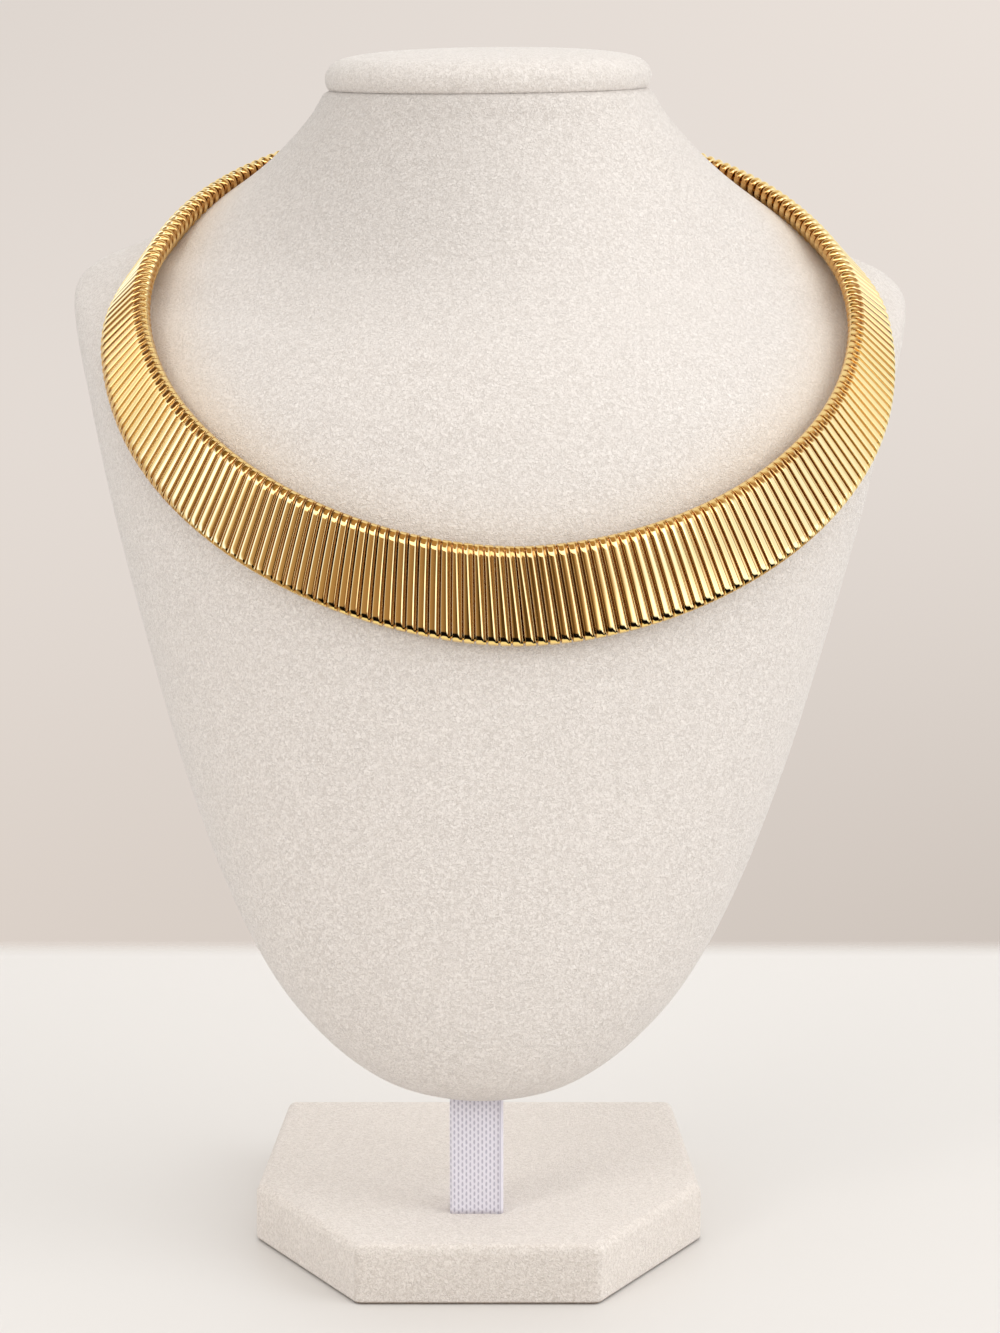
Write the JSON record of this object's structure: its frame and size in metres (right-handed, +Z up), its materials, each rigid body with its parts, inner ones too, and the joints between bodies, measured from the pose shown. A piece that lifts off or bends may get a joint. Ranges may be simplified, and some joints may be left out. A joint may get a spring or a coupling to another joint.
{
  "type": "ribbed collar necklace on a neck bust display",
  "caption": "Graduated ribbed collar in polished gold tone, broad in front and thin behind, worn on a pale velvet neck bust on a six-sided foot.",
  "frame": {"origin": "middle of the foot's flat underside, halfway between its front and back edges", "axes": "+Z up through the neck, the chest and the collar's broad front face -Y, +X to the viewer's right"},
  "size_m": [0.1783, 0.1331, 0.2432],
  "materials": {
    "gold": "polished gold tone",
    "gold_core": "polished, in shade between the ribs",
    "gold_clasp": "polished gold tone",
    "velvet": "matt cream velvet",
    "velvet_cap": "matt cream velvet over padding",
    "steel": "plain bar, hidden under the tape",
    "tape": "woven white tape",
    "velvet_foot": "matt cream velvet over board"
  },
  "bodies": {
    "root": {"ribs_left": "gold", "ribs_right": "gold", "core": "gold_core", "clasp": "gold_clasp", "neck_form": "velvet", "neck_cap": "velvet_cap", "post": "steel", "post_tape": "tape", "base": "velvet_foot"}
  },
  "joints": []
}
